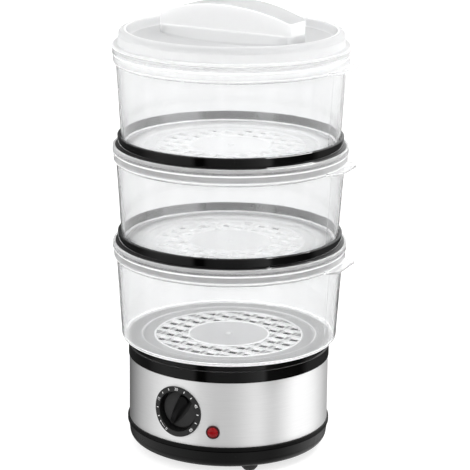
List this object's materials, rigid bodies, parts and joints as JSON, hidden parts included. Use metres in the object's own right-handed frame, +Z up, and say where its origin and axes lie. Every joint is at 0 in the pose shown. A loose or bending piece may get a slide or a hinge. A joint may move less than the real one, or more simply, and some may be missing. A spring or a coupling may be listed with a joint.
{
  "type": "electric food steamer",
  "caption": "Round electric food steamer: steel-banded base with timer dial and pilot lamp, three clear stacked baskets on black rings, and a frosted lid.",
  "frame": {"origin": "middle of the four feet, on the surface that they stand on", "axes": "+Z up the stack, -Y towards the dial, +X to the right seen from the front, towards the lifting tabs"},
  "size_m": [0.2159, 0.2076, 0.4004],
  "materials": {
    "black_satin": "satin moulded black polypropylene",
    "black_gloss": "glossy moulded black plastic",
    "rubber": "dull black rubber",
    "screw_steel": "zinc-plated screw",
    "brushed_band": "stainless band brushed round its length",
    "plate_steel": "pressed stainless plate",
    "silicone": "silicone seal",
    "element_sheath": "aluminium-sheathed element",
    "zinc_steel": "zinc-plated steel",
    "thermostat_ceramic": "steatite body",
    "fuse_sleeve": "glass-fibre sleeve",
    "timer_case": "moulded timer case",
    "bell_steel": "nickel-plated bell",
    "dial_black": "satin black plate with a white scale",
    "knob_black": "glossy black knob",
    "shaft_steel": "turned steel",
    "lamp_bezel": "dark moulded bezel",
    "red_lens": "red translucent lens",
    "bulb_glass": "neon bulb glass",
    "grommet_black": "black bush",
    "block_nylon": "white nylon block",
    "terminal_brass": "brass screws",
    "wire_brown": "brown sleeved wire",
    "wire_blue": "blue sleeved wire",
    "wire_green": "green and yellow sleeved wire",
    "wire_red": "red sleeved wire",
    "wire_white": "white heat-resistant wire",
    "lead_black": "thin black leads",
    "sleeve_grey": "moulded dark sleeve",
    "frosted_lid": "translucent frosted plastic",
    "clear_basket": "clear food-grade plastic"
  },
  "bodies": {
    "base": {"base_pan": "black_satin", "base_screws": "screw_steel", "bell_screw": "screw_steel", "clamp_nut": "zinc_steel", "clamp_strap": "zinc_steel", "cord_grommet": "grommet_black", "dial_plate": "dial_black", "evaporator_plate": "plate_steel", "heater_tube": "element_sheath", "lamp_holder": "lamp_bezel", "lamp_leads": "lead_black", "lamp_lens": "red_lens", "neon_bulb": "bulb_glass", "plate_gasket": "silicone", "rubber_feet": "rubber", "steel_sleeve": "brushed_band", "tank_housing": "black_gloss", "terminal_block": "block_nylon", "terminal_screws": "terminal_brass", "thermal_fuse": "fuse_sleeve", "thermostat": "thermostat_ceramic", "timer_bell": "bell_steel", "timer_body": "timer_case", "timer_screws": "screw_steel", "wire_earth": "wire_green", "wire_element": "wire_white", "wire_fuse": "wire_white", "wire_live": "wire_brown", "wire_neutral": "wire_blue", "wire_switched": "wire_red"},
    "knob": {"timer_knob": "knob_black", "timer_shaft": "shaft_steel"},
    "steam_sleeve": {"steam_sleeve": "sleeve_grey"},
    "drip_tray": {"drip_tray": "black_gloss"},
    "basket_bottom": {"basket_bottom": "clear_basket"},
    "carrier_ring_lower": {"carrier_ring_lower": "black_gloss"},
    "basket_middle": {"basket_middle": "clear_basket"},
    "carrier_ring_upper": {"carrier_ring_upper": "black_gloss"},
    "basket_top": {"basket_top": "clear_basket"},
    "lid": {"lid": "frosted_lid"}
  },
  "joints": [
    {"name": "timer_knob_turn", "type": "hinge", "parent": "base", "child": "knob", "pos_m": [0, -0.0837, 0.0548], "axis": [0, 1, 0], "range_deg": [0, 300]},
    {"name": "steam_sleeve_lift", "type": "slide", "parent": "base", "child": "steam_sleeve", "axis": [0, 0, 1], "range_m": [0, 0.06]},
    {"name": "drip_tray_lift", "type": "slide", "parent": "steam_sleeve", "child": "drip_tray", "axis": [0, 0, 1], "range_m": [0, 0.03]},
    {"name": "basket_bottom_lift", "type": "slide", "parent": "drip_tray", "child": "basket_bottom", "axis": [0, 0, 1], "range_m": [0, 0.05]},
    {"name": "carrier_ring_lower_lift", "type": "slide", "parent": "basket_bottom", "child": "carrier_ring_lower", "axis": [0, 0, 1], "range_m": [0, 0.03]},
    {"name": "basket_middle_lift", "type": "slide", "parent": "carrier_ring_lower", "child": "basket_middle", "axis": [0, 0, 1], "range_m": [0, 0.05]},
    {"name": "carrier_ring_upper_lift", "type": "slide", "parent": "basket_middle", "child": "carrier_ring_upper", "axis": [0, 0, 1], "range_m": [0, 0.03]},
    {"name": "basket_top_lift", "type": "slide", "parent": "carrier_ring_upper", "child": "basket_top", "axis": [0, 0, 1], "range_m": [0, 0.05]},
    {"name": "lid_lift", "type": "slide", "parent": "basket_top", "child": "lid", "axis": [0, 0, 1], "range_m": [0, 0.06]}
  ]
}
